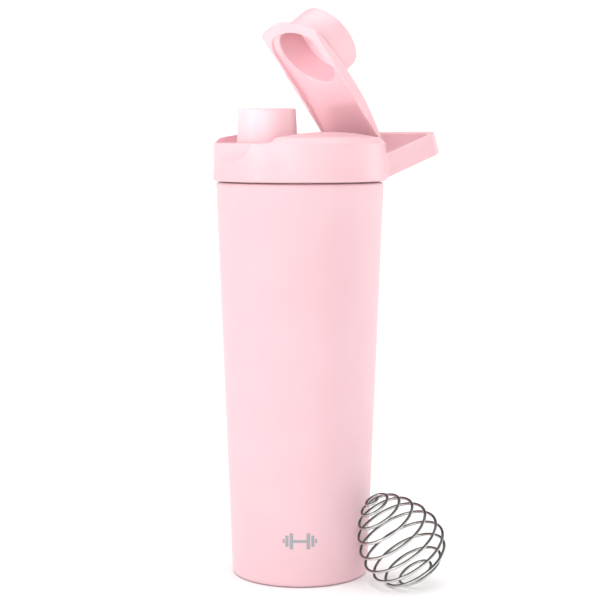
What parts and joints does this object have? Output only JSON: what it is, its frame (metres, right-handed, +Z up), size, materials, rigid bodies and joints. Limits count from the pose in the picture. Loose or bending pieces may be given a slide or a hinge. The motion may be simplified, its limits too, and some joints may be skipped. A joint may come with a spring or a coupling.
{
  "type": "protein shaker bottle",
  "caption": "Double-wall insulated shaker bottle with a screw lid, flip cap over a drinking spout, carry loop and a wire whisk ball.",
  "frame": {"origin": "centre of the bottle's flat resting face", "axes": "+Z up along the bottle's axis; -Y towards the drinking spout, +Y towards the flip hinge and carry loop; the flip hinge's axis lies along X"},
  "size_m": [0.1174, 0.1145, 0.2864],
  "materials": {
    "powder_coat": "satin pastel pink powder coat",
    "lid_plastic": "satin moulded pastel pink plastic",
    "silicone": "soft pale pink silicone",
    "steel": "brushed stainless steel",
    "wire": "polished stainless wire",
    "solder": "dull fused sealing bead",
    "getter_metal": "sintered metal"
  },
  "bodies": {
    "bottle": {"outer_shell": "powder_coat", "inner_liner": "steel", "outer_bottom": "steel", "vacuum_seal": "solder", "getter": "getter_metal", "base_disc": "steel"},
    "lid_carrier": {"lid_gasket": "silicone"},
    "lid": {"lid_cover": "lid_plastic", "lid_insert": "lid_plastic", "hinge_pin": "steel"},
    "flip": {"flip_cap": "lid_plastic", "cap_seal": "silicone"},
    "whisk": {"whisk_ball": "wire"}
  },
  "joints": [
    {"name": "lid_lift", "type": "slide", "parent": "bottle", "child": "lid_carrier", "axis": [0, 0, 1], "range_m": [0, 0.00225]},
    {"name": "lid_turn", "type": "hinge", "parent": "lid_carrier", "child": "lid", "pos_m": [0, 0, 0.205], "axis": [0, 0, 1], "range_deg": [0, 270]},
    {"name": "flip_hinge", "type": "hinge", "parent": "lid", "child": "flip", "pos_m": [0, 0.0322, 0.2165], "axis": [-1, 0, 0], "range_deg": [-52, 66]},
    {"name": "whisk_slide", "type": "slide", "parent": "bottle", "child": "whisk", "axis": [0.9205, 0.3907, 0], "range_m": [0, 0.12]}
  ],
  "couplings": [
    {"joint": "lid_lift", "follows": "lid_turn", "m_per_rad": 0.00047746}
  ]
}
